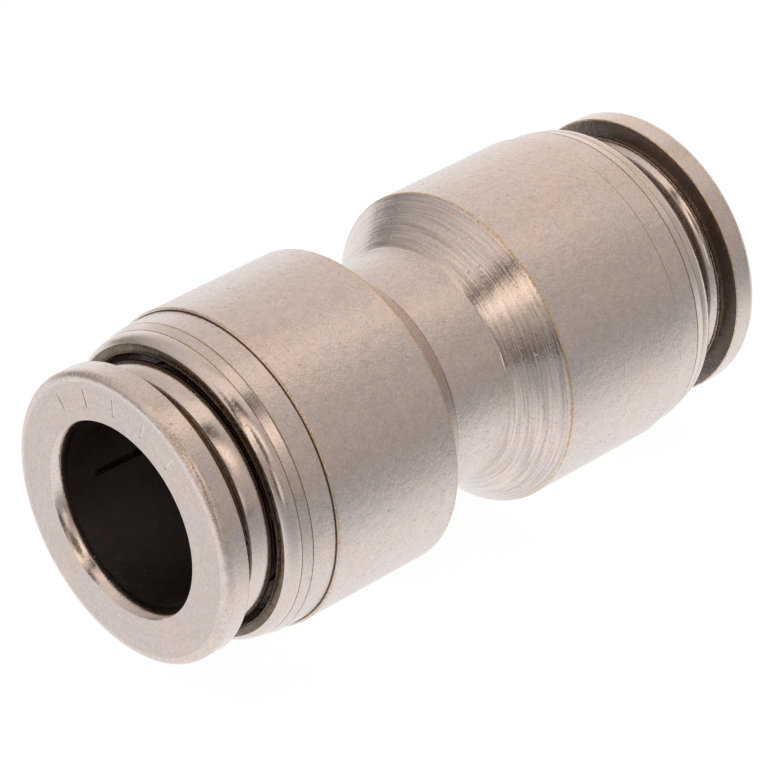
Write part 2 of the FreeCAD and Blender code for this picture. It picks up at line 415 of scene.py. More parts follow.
def nickel_plate(settings):
    """Nickel plate: tumbled satin, with stretches of every other finish, worn edges, and painted shade
    in the bores, on the flange backs and in the gap behind each lip.
    """
    paint = Paint("nickel_plate")
    turned, polished, faced, bored, stained, handled = (paint.mask(name) for name in FINISHES)
    edge = paint.mask("edge")
    satin = (1.0 - turned - polished - faced - handled * 0.6).bounded()

    # patterns: broad clouds, mottle, fine grain, specks, and the fine and coarse marks of the tool
    cloud = paint.noise(3.0 * MM, detail=4.0)
    mottle = paint.noise(0.55 * MM, detail=4.0, roughness=0.7)
    grain = paint.noise(0.14 * MM, detail=2.0, roughness=0.6)
    specks = paint.noise(0.24 * MM, detail=1.0, distortion=0.6)
    rings = paint.lathe_lines(0.13 * MM, 2.4, detail=3.0)
    bands = paint.lathe_lines(0.40 * MM, 1.8, detail=3.0)

    # colour of the bare plate
    tone = paint.mix(((cloud - 0.5) * 2.4 + (mottle - 0.5) * 2.6 + 0.5).bounded(),
                     settings.nickel, settings.warm)
    light = 0.98 + (mottle - 0.5) * (0.14 + satin * 0.42)
    light = light + (grain - 0.5) * 0.52 + (cloud - 0.5) * 0.14
    light = light + turned * ((rings - 0.5) * 1.05 + (bands - 0.5) * 0.25 - 0.04)
    light = light + faced * ((rings - 0.5) * 0.20 - 0.10)
    tone = paint.darken(tone, light)

    # what lies on it or shows through it: dirt, brass and stains, and painted shade in the bores, on the
    # flange backs and in the gap behind each lip
    pits = specks.between(0.69, 0.78) * (1.0 - polished * 0.7) * (1.0 - faced * 0.5)
    gold = specks.between(0.31, 0.25) * mottle.between(0.47, 0.60)
    tone = paint.mix(pits * 0.22, tone, settings.pit_dirt_and_shade)
    tone = paint.mix(gold * 0.4, tone, settings.brass)
    tone = paint.mix(turned * rings.between(0.60, 0.75) * 0.35, tone, settings.brass)
    chips = paint.noise(0.22 * MM, detail=3.0, roughness=0.7)
    rubbed = (edge * settings.wear * (chips * 7.0 - 2.6)).between(0.25, 0.75)
    tone = paint.mix(rubbed * 0.8, tone, settings.brass)
    # stain at the joints and thin lines, and painted shade on the lip's front and the neck's slope deep
    # in the gap
    tone = paint.mix((stained * (0.70 + mottle * 0.4)).bounded(), tone, settings.stain)
    # painted shade: the bores and the flange backs darkened with the dirt colour
    tone = paint.mix(bored * 0.62, tone, settings.pit_dirt_and_shade)

    # gloss, then the heights that catch the light
    rough = settings.satin + (grain - 0.5) * 0.20 + (mottle - 0.5) * 0.16
    rough = rough + turned * (-0.09 + (rings - 0.5) * 0.16)
    rough = rough - polished * 0.07 - handled * 0.04 + faced * 0.18 + bored * 0.15
    rough = rough + pits * 0.25 + rubbed * 0.1
    tool_mark = 0.026 * MM
    skin_depth = 0.0115 * MM
    normal = paint.bump(rings * (turned + faced * 0.35 + polished * 0.12 + 0.04), tool_mark)
    normal = paint.bump(bands * (turned + 0.04), tool_mark, normal)
    skin = grain * (0.25 + satin * 1.1) + mottle * (0.8 + satin * 3.2) - pits * 1.2
    normal = paint.bump(skin, skin_depth, normal)
    return paint.finish(tone, rough.bounded(), normal)


def claw_steel(settings):
    """Stamped spring steel, with rolling lines and a few brassy stains."""
    paint = Paint("claw_steel")
    stretched = (1.0, 0.05, 1.0)
    roll = add_node(paint.tree, "ShaderNodeMapping", inputs={0: paint.place, "Scale": stretched})
    lines = paint.noise(0.08 * MM, detail=3.0, place=roll.outputs[0])
    stain = paint.noise(1.5 * MM, detail=3.0)
    tone = paint.mix(stain.between(0.5, 0.8) * 0.4, settings.steel, settings.brass)
    tone = paint.darken(tone, 0.75 + lines * 0.35)
    normal = paint.bump(lines, 0.003 * MM)
    return paint.finish(tone, 0.22 + lines * 0.2, normal)


def seal_rubber(settings):
    """Moulded rubber, dull with a fine skin and a trace of grease."""
    paint = Paint("seal_rubber")
    skin = paint.noise(0.09 * MM, detail=3.0)
    bloom = paint.noise(1.8 * MM, detail=3.0)
    grey = (0.09, 0.09, 0.085)
    tone = paint.mix(bloom.between(0.45, 0.8) * 0.35, settings.rubber, grey)
    normal = paint.bump(skin, 0.006 * MM)
    rough = 0.62 + skin * 0.15 - bloom.between(0.6, 0.8) * 0.3
    return paint.finish(tone, rough, normal, metallic=0.0)


def material(name):
    """One of the finishes, made the first time that it is asked for."""
    makers = {"nickel_plate": nickel_plate, "claw_steel": claw_steel, "seal_rubber": seal_rubber}
    return bpy.data.materials.get(name) or makers[name](bpy.context.scene.fitting_finish)


# ---------------------------------------------------------------- outlines

class Corner(NamedTuple):
    """A corner of an outline, with the finish of the stretch that leaves it and its own wear."""

    x: float
    r: float
    round: float = 0.0
    finish: str = ""
    wear: float = 0.0


class Bend(NamedTuple):
    """An arc from the corner before, through a middle point, to an end."""

    middle: tuple
    end: tuple
    finish: str = ""
    wear: float = 0.0


def arc_points(start, middle, end, steps):
    """Points of the arc through three points, without the first."""
    a, b, c = Vector(start), Vector(middle), Vector(end)
    cross = 2 * (a.x * (b.y - c.y) + b.x * (c.y - a.y) + c.x * (a.y - b.y))
    squares = [p.length_squared for p in (a, b, c)]
    centre = Vector((
        (squares[0] * (b.y - c.y) + squares[1] * (c.y - a.y) + squares[2] * (a.y - b.y)) / cross,
        (squares[0] * (c.x - b.x) + squares[1] * (a.x - c.x) + squares[2] * (b.x - a.x)) / cross))
    first, last = a - centre, c - centre
    turn = math.atan2(first.x * last.y - first.y * last.x, first.dot(last))
    return [centre + Matrix.Rotation(turn * i / steps, 2) @ first for i in range(1, steps + 1)]


def expand_bends(outline):
    """The outline as corners only, with each bend drawn in short steps."""
    corners = []
    for item in outline:
        if isinstance(item, Bend):
            start = corners[-1][:2]
            corners[-1] = corners[-1]._replace(finish=item.finish)
            for point in arc_points(start, item.middle, item.end, BEND_STEPS):
                corners.append(Corner(point.x, point.y, 0.0, item.finish, item.wear))
        else:
            corners.append(item)
    return corners


def rounded(before, corner, after):
    """The points of one corner, rounded as far as its neighbours allow."""
    here = Vector(corner[:2])
    back = Vector(before[:2]) - here
    on = Vector(after[:2]) - here
    turn = math.pi - back.angle(on)
    if corner.round == 0.0 or turn < STRAIGHT:
        return [(here.x, here.y, corner.wear, corner.finish)]
    reach = min(corner.round * math.tan(turn / 2), ROOM * back.length, ROOM * on.length)
    start, end = here + back.normalized() * reach, here + on.normalized() * reach
    sagitta = reach * math.tan(turn / 4) * math.cos(turn / 2)
    towards = (here - (start + end) / 2).normalized()
    middle = (start + end) / 2 + towards * sagitta
    points = [start, *arc_points(start, middle, end, ROUND_STEPS)]
    return [(p.x, p.y, corner.wear, corner.finish) for p in points]


def trace(outline):
    """A closed run of (x, r, wear, finish) points, with a support point near each corner."""
    corners = expand_bends(outline)
    points = []
    for i, corner in enumerate(corners):
        points += rounded(corners[i - 1], corner, corners[(i + 1) % len(corners)])
    run = []
    for i, point in enumerate(points):
        after = points[(i + 1) % len(points)]
        run.append(point)
        gap = Vector(after[:2]) - Vector(point[:2])
        if gap.length > 3 * SUPPORT:
            step = gap.normalized() * SUPPORT
            finish = point[3]
            run.append((point[0] + step.x, point[1] + step.y, 0.0, finish))
            run.append((after[0] - step.x, after[1] - step.y, 0.0, finish))
    return run + [run[0]]


def outline_mesh(name, outline):
    """The outline as a chain of points in the XZ plane, with its finishes as attributes."""
    run = trace(outline)
    mesh = bpy.data.meshes.new(name)
    mesh.from_pydata([(x, 0.0, r) for x, r, wear, finish in run],
                     [(i, i + 1) for i in range(len(run) - 1)], [])
    columns = {"edge": [wear for x, r, wear, finish in run]}
    for kind in FINISHES:
        columns[kind] = [float(finish == kind) for x, r, wear, finish in run]
    for kind, values in columns.items():
        mesh.attributes.new(kind, "FLOAT", "POINT").data.foreach_set("value", values)
    return mesh


# ---------------------------------------------------------------- geometry nodes

def new_tree(name, sockets):
    """A Geometry Nodes tree with named inputs, its input node and its output node."""
    tree = bpy.data.node_groups.new(name, "GeometryNodeTree")
    tree.interface.new_socket("Geometry", in_out="OUTPUT", socket_type="NodeSocketGeometry")
    tree.interface.new_socket("Geometry", in_out="INPUT", socket_type="NodeSocketGeometry")
    for label, kind in sockets.items():
        tree.interface.new_socket(label, in_out="INPUT", socket_type="NodeSocket" + kind)
    return tree, add_node(tree, "NodeGroupInput"), add_node(tree, "NodeGroupOutput")


def end_tree(tree, geometry, inputs, outputs):
    """Realize Instances and Set Material, which end every tree here."""
    real = add_node(tree, "GeometryNodeRealizeInstances", inputs={0: geometry})
    painted = add_node(tree, "GeometryNodeSetMaterial",
                       inputs={0: real.outputs[0], "Material": inputs.outputs["Material"]})
    tree.links.new(painted.outputs[0], outputs.inputs[0])


def field(tree, node, output=0):
    """A node's output as a wire."""
    return Wire(tree, node.outputs[output])


def lathe_tree():
    """Turns the chain of points that it is given about the X axis."""
    tree, inputs, outputs = new_tree("Lathe", {
        "Points": "Int", "Steps": "Int", "Material": "Material"})
    points = field(tree, inputs, "Points")
    steps = field(tree, inputs, "Steps")
    grid = add_node(tree, "GeometryNodeMeshGrid", inputs={
        "Size X": 1.0, "Size Y": 1.0, "Vertices X": points, "Vertices Y": steps + 1.0})
    place = add_node(tree, "GeometryNodeInputPosition")
    cell = add_node(tree, "ShaderNodeSeparateXYZ", inputs={0: place.outputs[0]})
    index = ((field(tree, cell, 0) + 0.5) * (points - 1.0)).to("ROUND")
    angle = (field(tree, cell, 1) + 0.5) * math.tau
    outline = inputs.outputs["Geometry"]

    def sampled(kind, value):
        """A value of the outline's point with this index."""
        return add_node(tree, "GeometryNodeSampleIndex", {"data_type": kind, "clamp": True},
                        {0: outline, "Value": value, "Index": index}).outputs[0]

    shape = grid.outputs["Mesh"]
    for name in ("edge", *FINISHES):
        named = add_node(tree, "GeometryNodeInputNamedAttribute", {"data_type": "FLOAT"}, {0: name})
        domain = "POINT" if name == "edge" else "FACE"
        shape = add_node(tree, "GeometryNodeStoreNamedAttribute",
                         {"data_type": "FLOAT", "domain": domain},
                         {0: shape, "Name": name,
                          "Value": sampled("FLOAT", named.outputs[0])}).outputs[0]
    spot = add_node(tree, "ShaderNodeSeparateXYZ",
                    inputs={0: sampled("FLOAT_VECTOR", place.outputs[0])})
    radius = field(tree, spot, 2)
    turned = add_node(tree, "ShaderNodeCombineXYZ", inputs={
        0: spot.outputs[0], 1: radius * angle.to("COSINE"), 2: radius * angle.to("SINE")})
    shape = add_node(tree, "GeometryNodeSetPosition",
                     inputs={0: shape, "Position": turned.outputs[0]}).outputs[0]
    shape = add_node(tree, "GeometryNodeMergeByDistance",
                     inputs={0: shape, "Distance": WELD}).outputs[0]
    end_tree(tree, shape, inputs, outputs)
    return tree


def slot_tree():
    """Cuts equal radial slots, spaced evenly round the X axis, out of what it is given."""
    tree, inputs, outputs = new_tree("Radial slots", {
        "Count": "Int", "First Angle": "Float", "Step Angle": "Float", "Near": "Vector",
        "Size": "Vector", "Material": "Material"})
    line = add_node(tree, "GeometryNodeMeshLine", inputs={
        "Count": inputs.outputs["Count"], "Offset": (0.0, 0.0, 0.0)})
    box = add_node(tree, "GeometryNodeMeshCube", inputs={"Size": inputs.outputs["Size"]})
    box = add_node(tree, "GeometryNodeTransform", inputs={
        0: box.outputs["Mesh"], "Translation": inputs.outputs["Near"]})
    index = field(tree, add_node(tree, "GeometryNodeInputIndex"))
    angle = index * inputs.outputs["Step Angle"] + inputs.outputs["First Angle"]
    turn = add_node(tree, "ShaderNodeCombineXYZ", inputs={0: angle})
    boxes = add_node(tree, "GeometryNodeInstanceOnPoints", inputs={
        "Points": line.outputs[0], "Instance": box.outputs[0], "Rotation": turn.outputs[0]})
    boxes = add_node(tree, "GeometryNodeRealizeInstances", inputs={0: boxes.outputs[0]})
    cut = add_node(tree, "GeometryNodeMeshBoolean", {"operation": "DIFFERENCE", "solver": "EXACT"},
                   {"Mesh 1": inputs.outputs["Geometry"], "Mesh 2": boxes.outputs[0]})
    end_tree(tree, cut.outputs["Mesh"], inputs, outputs)
    return tree


def add_tree(piece, maker, label, values):
    """A Geometry Nodes modifier on a piece, with its inputs set by their identifiers."""
    tree = bpy.data.node_groups.get(label) or maker()
    modifier = piece.modifiers.new(label, "NODES")
    modifier.node_group = tree
    for item in tree.interface.items_tree:
        if item.item_type == "SOCKET" and item.in_out == "INPUT" and item.name in values:
            modifier[item.identifier] = values[item.name]


def add_slots(piece, count, first, step, x_range, r_range, width, paint):
    """Radial slots in a turned piece, between two places along X and two radii."""
    middle = ((x_range[0] + x_range[1]) / 2, (r_range[0] + r_range[1]) / 2, 0.0)
    size = (x_range[1] - x_range[0], r_range[1] - r_range[0], width)
    add_tree(piece, slot_tree, "Radial slots", {
        "Count": count, "First Angle": first, "Step Angle": step, "Near": middle, "Size": size,
        "Material": paint})


def turn_piece(name, outline, paint):
    """An object that the lathe turns from an outline, with its modifiers still on it."""
    piece = bpy.data.objects.new(name, outline_mesh(name, outline))
    bpy.context.scene.collection.objects.link(piece)
    add_tree(piece, lathe_tree, "Lathe", {
        "Points": len(piece.data.vertices), "Steps": bpy.context.scene.fitting_finish.steps,
        "Material": paint})
    return piece


def settle(piece):
    """Make the piece's modifiers final, with its faces outwards and smooth up to sharp edges."""
    depsgraph = bpy.context.evaluated_depsgraph_get()
    mesh = bpy.data.meshes.new_from_object(piece.evaluated_get(depsgraph))
    if not mesh.polygons:
        raise RuntimeError(piece.name + " has no faces")
    piece.modifiers.clear()
    piece.data = mesh
    mesh.name = piece.name
    turn_outwards(mesh)
    mesh.shade_smooth()
    mesh.set_sharp_from_angle(angle=SHARP_ANGLE)
    return piece


def signed_volume(mesh):
    """Volume that the faces enclose, below nothing if they face inwards."""
    mesh.calc_loop_triangles()
    spots = [v.co for v in mesh.vertices]
    return sum(spots[t.vertices[0]].dot(spots[t.vertices[1]].cross(spots[t.vertices[2]]))
               for t in mesh.loop_triangles) / 6


def turn_outwards(mesh):
    """Flip a closed mesh whose faces point inwards."""
    if signed_volume(mesh) < 0:
        mesh.flip_normals()


def fit_to_frame(piece, node, body):
    """Put a finished piece in the place of a CAD node, on the body that carries it."""
    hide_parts(node)
    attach(piece, body)


def both_ends(piece, base, node, body):
    """Finish the right piece, and add its mirror image at the left end."""
    settle(piece)
    piece.name = base + "_right"
    mirrored = piece.copy()
    mirrored.data = piece.data.copy()
    mirrored.name = base + "_left"
    bpy.context.scene.collection.objects.link(mirrored)
    mirrored.data.transform(Matrix.Scale(-1.0, 4, Vector((1.0, 0.0, 0.0))))
    turn_outwards(mirrored.data)
    for side, one in (("right", piece), ("left", mirrored)):
        fit_to_frame(one, node + "_" + side, body.format(side=side))


# ---------------------------------------------------------------- outlines of the pieces

def quarter_round(x, r, radius, up, finish="", wear=0.0):
    """A quarter arc into the level line at r, from above it where up is 1 and below it at -1."""
    inset = ROUND_MIDDLE * radius
    return Bend((x - inset, r + up * inset), (x - radius, r), finish, wear)


def body_outline(sizes):
    """The body: cones, waist and barrels outside, seats, sockets and flow bore inside."""
    cone = sizes.barrel_radius - sizes.waist_radius
    chamfer, step = 0.09 * MM, 0.07 * MM
    edge = sizes.edge
    right = [
        Corner(sizes.waist_half, sizes.waist_radius, sizes.waist_fillet, "turned"),
        Corner(sizes.waist_half + cone, sizes.barrel_radius, 1.6 * edge, "", 1.0),
        Corner(sizes.barrel_end - chamfer, sizes.barrel_radius, 0.0, "polished", 0.8),
        Corner(sizes.barrel_end, sizes.barrel_radius - step, 0.0, "stained", 0.4),
        # the bores inside are darkened as painted shade
        Corner(sizes.barrel_end, sizes.seat_radius, edge, "bored"),
        Corner(sizes.seat_end, sizes.seat_radius, edge, "bored"),
        Corner(sizes.seat_end, sizes.socket_radius, 2 * edge, "bored"),
        Corner(sizes.stop, sizes.socket_radius, edge, "bored"),
        Corner(sizes.stop, sizes.flow_radius, edge, "bored"),
    ]
    back = right[::-1]
    finishes = [corner.finish for corner in back[1:]] + [""]
    left = [corner._replace(x=-corner.x, finish=finish) for corner, finish in zip(back, finishes)]
    return right + left


def guide_outline(sizes):
    """The guide ring: band, rounded lip, mouth, guide bore and tail."""
    edge = 0.06 * MM
    line = 0.05 * MM
    barrel_end = high("body").x + 0.01 * MM
    tail_radius = 9.12 * MM
    lip_crown = (17.92 * MM, 9.911 * MM)
    gap_shade_start = (18.312 * MM, 9.509 * MM)
    gap_shade_middle = (18.375 * MM, 9.359 * MM)
    return [
        Corner(barrel_end, sizes.step_radius - 0.02 * MM, 0.0, "stained"),
        Corner(barrel_end + edge, sizes.step_radius, 0.0, "", 0.3),
        Corner(sizes.band_end - line, sizes.band_radius + 0.01 * MM, 0.0, "stained", 0.4),
        Corner(sizes.band_end, sizes.band_radius, edge, "polished", 0.9),
        Corner(sizes.lip_start - line, sizes.lip_radius + 0.02 * MM, 0.0, "stained", 0.5),
        Corner(sizes.lip_start, sizes.lip_radius, edge, "polished", 1.0),
        Bend(lip_crown, gap_shade_start, "polished"),
        # the lip's front, in the gap behind the push ring's flange, is darkened as painted shade
        Bend(gap_shade_middle, (sizes.mouth, sizes.mouth_radius), "stained"),
        Corner(sizes.mouth - edge, sizes.mouth_radius - 2 * edge, edge, "stained", 0.3),
        # the mouth and the bores behind it are darkened as painted shade
        Corner(sizes.mouth - 0.24 * MM, sizes.mouth_bore, edge, "bored"),
        Corner(sizes.floor, sizes.mouth_bore, edge, "bored"),
        Corner(sizes.floor, sizes.guide_bore, edge, "bored"),
        Corner(sizes.shoulder, sizes.guide_bore, edge, "bored"),
        Corner(sizes.shoulder, sizes.tail_bore, edge, "bored"),
        Corner(sizes.tail, sizes.tail_bore, edge, "bored"),
        Corner(sizes.tail, tail_radius, 2 * edge, "turned"),
        Corner(barrel_end, tail_radius),
    ]


def push_ring_outline(sizes):
    """The push ring: flange, neck, bead, sleeve, snap hooks and nose."""
    edge = 0.08 * MM
    burr = 0.02 * MM
    rim_end = sizes.face - sizes.rim_round
    neck_end = 20.20 * MM
    foot_middle, foot = (19.95 * MM, 7.80 * MM), (19.78 * MM, 8.18 * MM)
    bead_front = (19.66 * MM, 8.30 * MM)
    front_middle, crown = (19.05 * MM, 8.52 * MM), (18.50 * MM, sizes.bead_radius)
    back_middle, back_foot = (18.22 * MM, 8.53 * MM), (17.98 * MM, 8.32 * MM)
    bead_back, back_radius = 17.90 * MM, 8.10 * MM
    hook, hook_end = 13.95 * MM, 13.30 * MM
    nose_radius = 6.75 * MM
    lip_middle = (sizes.face - 0.33 * sizes.lip_depth, sizes.bore_radius + 0.46 * sizes.lip_width)
    return [
        Corner(sizes.face, sizes.bore_radius + sizes.lip_width + burr, 0.0, "faced", 0.25),
        Corner(sizes.face, sizes.flange_radius - sizes.rim_round),
        quarter_round(sizes.face, sizes.flange_radius, sizes.rim_round, -1, "", 0.34),
        Corner(rim_end - 0.06 * MM, sizes.flange_radius, 0.0, "handled", 0.7),
        Corner(sizes.flange_back, sizes.flange_radius, 2 * edge, "polished", 0.8),
        # the back of the flange is darkened as painted shade
        Corner(sizes.flange_back, sizes.flange_radius - 0.18 * MM, 0.0, "bored"),
        Corner(sizes.flange_back, sizes.collar_radius + sizes.fillet, 0.0, "polished"),
        quarter_round(sizes.flange_back, sizes.collar_radius, sizes.fillet, 1, "polished"),
        # the slope from the neck to the bead, deep in the gap, is darkened as painted shade
        Corner(neck_end, sizes.collar_radius, 0.0, "stained"),
        Bend(foot_middle, foot, "stained"),
        Corner(*bead_front, edge, "polished", 0.35),
        Bend(front_middle, crown, "polished"),
        Bend(back_middle, back_foot, "polished"),
        Corner(bead_back, back_radius, edge, "polished"),
        Corner(bead_back, sizes.sleeve_radius, edge, "polished"),
        Corner(hook, sizes.sleeve_radius, edge, "polished"),
        Corner(hook, sizes.hook_radius, edge, "polished"),
        Corner(hook_end, sizes.hook_radius, edge, "polished"),
        Corner(sizes.nose, nose_radius, edge, "polished"),
        # the bore is darkened as painted shade up to the lip's chamfer
        Corner(sizes.nose, sizes.bore_radius, 2 * edge, "bored"),
        Corner(sizes.face - sizes.lip_depth, sizes.bore_radius, 0.0, "polished"),
        Bend(lip_middle, (sizes.face - burr, sizes.bore_radius + sizes.lip_width), "polished"),
    ]


def claw_outline(sizes):
    """The claws' sheet: a flat rim, then a slope down to the tips."""
    back = sizes.rim_front - sizes.claw_thickness
    run, rise = back - sizes.tip, sizes.root_radius - sizes.tip_radius
    thick = sizes.claw_thickness * math.hypot(run, rise) / rise
    edge = 0.05 * MM
    return [
        Corner(back, sizes.rim_radius, edge),
        Corner(sizes.rim_front, sizes.rim_radius, edge),
        Corner(sizes.rim_front, sizes.root_radius, 3 * edge),
        Corner(sizes.tip + thick, sizes.tip_radius, edge),
        Corner(sizes.tip, sizes.tip_radius, edge / 2),
        Corner(back, sizes.root_radius, 3 * edge),
    ]


def backup_outline(sizes):
    """The backup ring, hollowed at the front so that the push ring's nose clears it."""
    bore = 6.25 * MM
    hollow, hollow_radius = 9.60 * MM, 6.60 * MM
    spots = (
        (sizes.backup_back, bore), (hollow, bore), (hollow, hollow_radius), (11.20 * MM, 8.05 * MM),
        (sizes.backup_front, 8.20 * MM), (sizes.backup_front, sizes.backup_radius),
        (sizes.backup_back, sizes.backup_radius))
    return [Corner(x, r, 0.08 * MM, "turned") for x, r in spots]


def seal_outline(sizes):
    """The seal: two round lips inside and a groove outside."""
    first, last = sizes.seal_back, sizes.seal_front
    middle, quarter = (first + last) / 2, (last - first) / 4
    bore, root, groove = 6.15 * MM, 6.55 * MM, 8.55 * MM
    edge = 0.15 * MM
    return [
        Corner(first, root, edge),
        Bend((first + quarter, bore), (middle, root)),
        Bend((last - quarter, bore), (last, root)),
        Corner(last, sizes.seal_radius, edge),
        Corner(middle + quarter, sizes.seal_radius, edge),
        Bend((middle, groove), (middle - quarter, sizes.seal_radius)),
        Corner(first, sizes.seal_radius, edge),
    ]


# ---------------------------------------------------------------- operators

class FITTING_OT_body(bpy.types.Operator):
    """Turn the body"""

    bl_idname = "fitting.body"
    bl_label = "Body"

    def execute(self, context):
        piece = turn_piece("turned_body", body_outline(context.scene.fitting_body),
                           material("nickel_plate"))
        fit_to_frame(settle(piece), "body", "housing")
        return {"FINISHED"}


class FITTING_OT_guide_rings(bpy.types.Operator):
    """Turn the two guide rings, the mouths of the body"""

    bl_idname = "fitting.guide_rings"
    bl_label = "Guide Rings"

    def execute(self, context):
        piece = turn_piece("mouth_ring", guide_outline(context.scene.fitting_guide),
                           material("nickel_plate"))
        both_ends(piece, "mouth_ring", "guide_ring", "housing")
        return {"FINISHED"}


class FITTING_OT_push_rings(bpy.types.Operator):
    """Turn the two push rings, and saw their slits and index marks"""

    bl_idname = "fitting.push_rings"
    bl_label = "Push Rings"

    def execute(self, context):
        sizes = context.scene.fitting_push_ring
        paint = material("nickel_plate")
        piece = turn_piece("push_ring", push_ring_outline(sizes), paint)
        add_slots(piece, 2, sizes.slit_angle, math.pi, (sizes.nose - CLEAR, sizes.slit_start),
                  (0.0, sizes.slit_depth), sizes.slit_width, paint)
        notch_half, notch_width = 0.25 * MM, 0.95 * MM
        notch_radii = (sizes.collar_radius - 0.3 * MM, 8.15 * MM)
        add_slots(piece, 2, sizes.slit_angle, math.pi,
                  (sizes.slit_start - notch_half, sizes.slit_start + notch_half),
                  notch_radii, notch_width, paint)
        ticks, tick_step = 5, math.radians(19.0)
        tick_depth, tick_width, tick_radii = 0.03 * MM, 0.20 * MM, (7.25 * MM, 8.45 * MM)
        add_slots(piece, ticks, sizes.tick_angle - (ticks - 1) / 2 * tick_step, tick_step,
                  (sizes.face - tick_depth, sizes.face + CLEAR), tick_radii, tick_width, paint)
        both_ends(piece, "push_ring", "release_ring", "push_ring_{side}")
        return {"FINISHED"}


class FITTING_OT_claws(bpy.types.Operator):
    """Stamp the two claw washers that grip the tubes"""

    bl_idname = "fitting.claws"
    bl_label = "Claws"

    def execute(self, context):
        sizes = context.scene.fitting_grip
        paint = material("claw_steel")
        piece = turn_piece("claw_washer", claw_outline(sizes), paint)
        step = math.tau / sizes.claw_count
        add_slots(piece, sizes.claw_count, step / 2, step,
                  (sizes.tip - CLEAR, sizes.rim_front + CLEAR),
                  (sizes.tip_radius - CLEAR, sizes.root_radius), sizes.claw_slot, paint)
        both_ends(piece, "claw_washer", "lock_claws", "grip_{side}")
        return {"FINISHED"}


class FITTING_OT_backup_rings(bpy.types.Operator):
    """Turn the two backup rings behind the claws"""

    bl_idname = "fitting.backup_rings"
    bl_label = "Backup Rings"

    def execute(self, context):
        piece = turn_piece("backing_ring", backup_outline(context.scene.fitting_grip),
                           material("nickel_plate"))
        both_ends(piece, "backing_ring", "backup_ring", "housing")
        return {"FINISHED"}


class FITTING_OT_seals(bpy.types.Operator):
    """Mould the two rubber seals"""

    bl_idname = "fitting.seals"
    bl_label = "Seals"

    def execute(self, context):
        piece = turn_piece("rubber_seal", seal_outline(context.scene.fitting_grip),
                           material("seal_rubber"))
        both_ends(piece, "rubber_seal", "elastic_sleeve", "housing")
        return {"FINISHED"}


class FITTING_OT_stage(bpy.types.Operator):
    """Lay the floor, light the tent and set the camera"""

    bl_idname = "fitting.stage"
    bl_label = "Stage"

    def execute(self, context):
        stage = context.scene.fitting_stage
        add_floor(stage)
        add_strip_light(stage)
        add_end_card(stage)
        add_tent(stage)
        add_camera(stage)
        context.scene.view_settings.view_transform = "Standard"
        return {"FINISHED"}


# ---------------------------------------------------------------- stage

def stage_plane(name, paint, corners):
    """A flat plane with four corners, which belongs to the stage."""
    mesh = bpy.data.meshes.new(name)
    mesh.from_pydata(corners, [], [(0, 1, 2, 3)])
    mesh.materials.append(paint.material)
    plane = bpy.data.objects.new(name, mesh)
    bpy.context.scene.collection.objects.link(plane)
    return plane


def floor_plane(name, paint, level):
    """A wide level plane about the middle."""
    half = 3000.0 * MM
    return stage_plane(name, paint, [(-half, -half, level), (half, -half, level),
                                     (half, half, level), (-half, half, level)])


def glowing(name, tone, strength):
    """A material that only gives light."""
    paint = Paint(name)
    for socket, value in (("Emission Color", tone), ("Emission Strength", strength),
                          ("Base Color", BLACK), ("Specular IOR Level", 0.0)):
        paint.shader.inputs[socket].default_value = value
    return paint


def only_mirrored(thing):
    """Leave a stage object to be seen in reflections alone."""
    for ray in ("camera", "diffuse", "shadow", "transmission", "volume_scatter"):
        setattr(thing, "visible_" + ray, False)


def hang(paint, cover, corners):
    """A flat card of a glowing material, which covers only in part what is behind it."""
    connect(paint.tree, cover, paint.shader.inputs["Alpha"])
    only_mirrored(stage_plane(paint.material.name, paint, corners))


def add_floor(stage):
    """A pale floor at the lowest point of the part, and the dimmer one that the part mirrors."""
    pale = Paint("pale_floor")
    pale.shader.inputs["Base Color"].default_value = (0.15, 0.155, 0.165, 1.0)
    pale.shader.inputs["Roughness"].default_value = 0.9
    pale.shader.inputs["Specular IOR Level"].default_value = 0.0
    pale.shader.inputs["Emission Color"].default_value = WHITE
    pale.shader.inputs["Emission Strength"].default_value = stage.floor_glow
    floor = floor_plane("floor", pale, CAD_BOX[0].z)
    floor.visible_glossy = False

    dim = glowing("dim_front", WHITE, 1.0)
    start = abs(CAD_BOX[0].y) + 1.5 * MM
    far_light, back_loss = 0.42, 0.55
    ahead = ((dim.y * -1.0 - start) / (stage.floor_fade - start)).to("MAXIMUM", 0.0)
    behind = dim.y.between(50.0 * MM, 300.0 * MM) * dim.x.between(60.0 * MM, 0.0)
    light = (far_light + (1.0 - far_light) / (1.0 + ahead * ahead)) * (1.0 - behind * back_loss)
    connect(dim.tree, dim.mix(light, BLACK[:3], WHITE[:3]), dim.shader.inputs["Emission Color"])
    only_mirrored(floor_plane("mirrored_floor", dim, CAD_BOX[0].z - 0.01 * MM))


